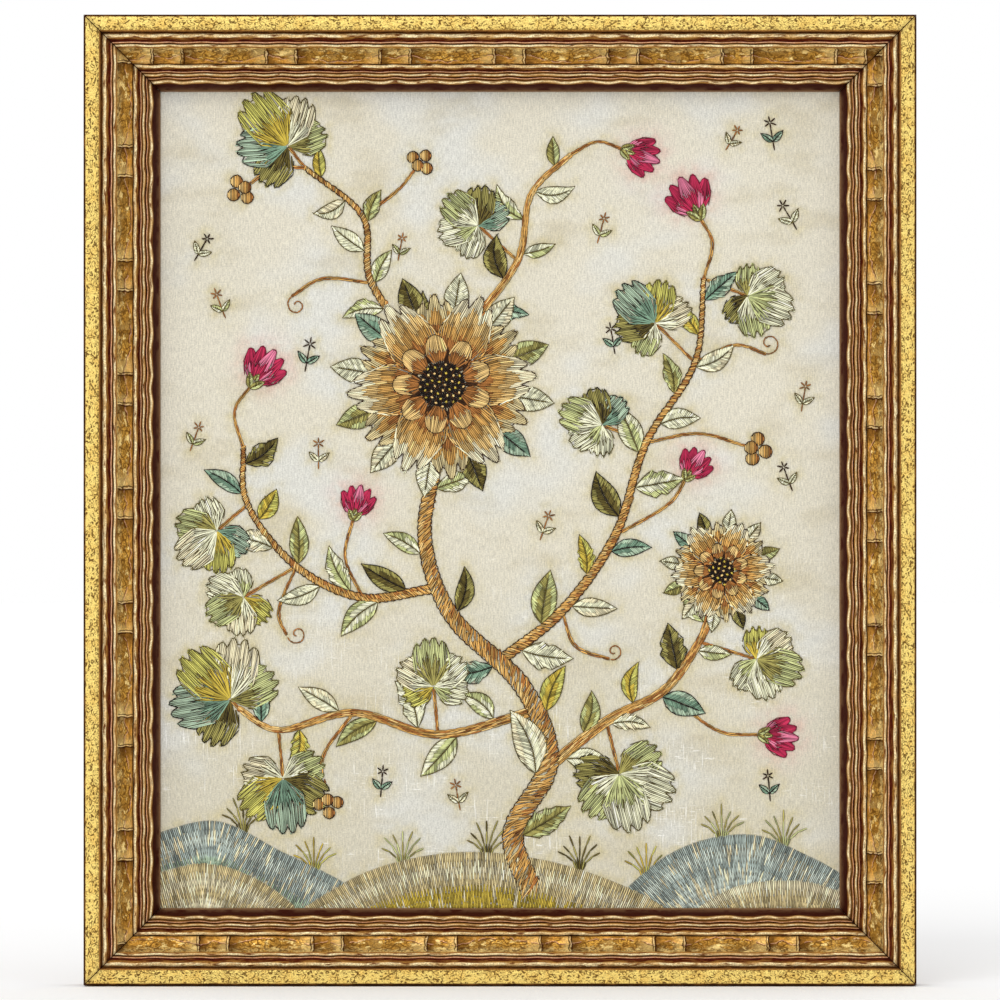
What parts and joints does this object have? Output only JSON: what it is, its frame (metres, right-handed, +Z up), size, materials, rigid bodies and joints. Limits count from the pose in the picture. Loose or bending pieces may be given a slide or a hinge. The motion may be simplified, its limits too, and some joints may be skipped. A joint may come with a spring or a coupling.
{
  "type": "silk embroidery picture in a gilt wooden frame",
  "caption": "Upright rectangular wall picture: silk ground worked in coloured floss, held flat in a mitred gilt ripple moulding frame.",
  "frame": {"origin": "middle of the top rail's flat back, where the picture hangs on the wall", "axes": "+Z up along the picture's long side, +X to the right seen from the front, +Y back into the wall; the picture faces -Y"},
  "size_m": [0.3746, 0.0232, 0.4365],
  "materials": {
    "gilt_wood": "gold leaf burnished over red clay, rubbed through on the crests; bare wood at the back",
    "silk_ground": "plain woven ivory silk with a soft sheen, aged",
    "silk_floss": "untwisted silk floss in ochre, sage, olive, teal, crimson and dark brown, laid in satin stitches with a bright sheen",
    "back_board": "plain matt brown board"
  },
  "bodies": {
    "root": {"rail_top": "gilt_wood", "rail_right": "gilt_wood", "rail_bottom": "gilt_wood", "rail_left": "gilt_wood", "silk_panel": "silk_ground", "backing_board": "back_board"}
  },
  "joints": []
}
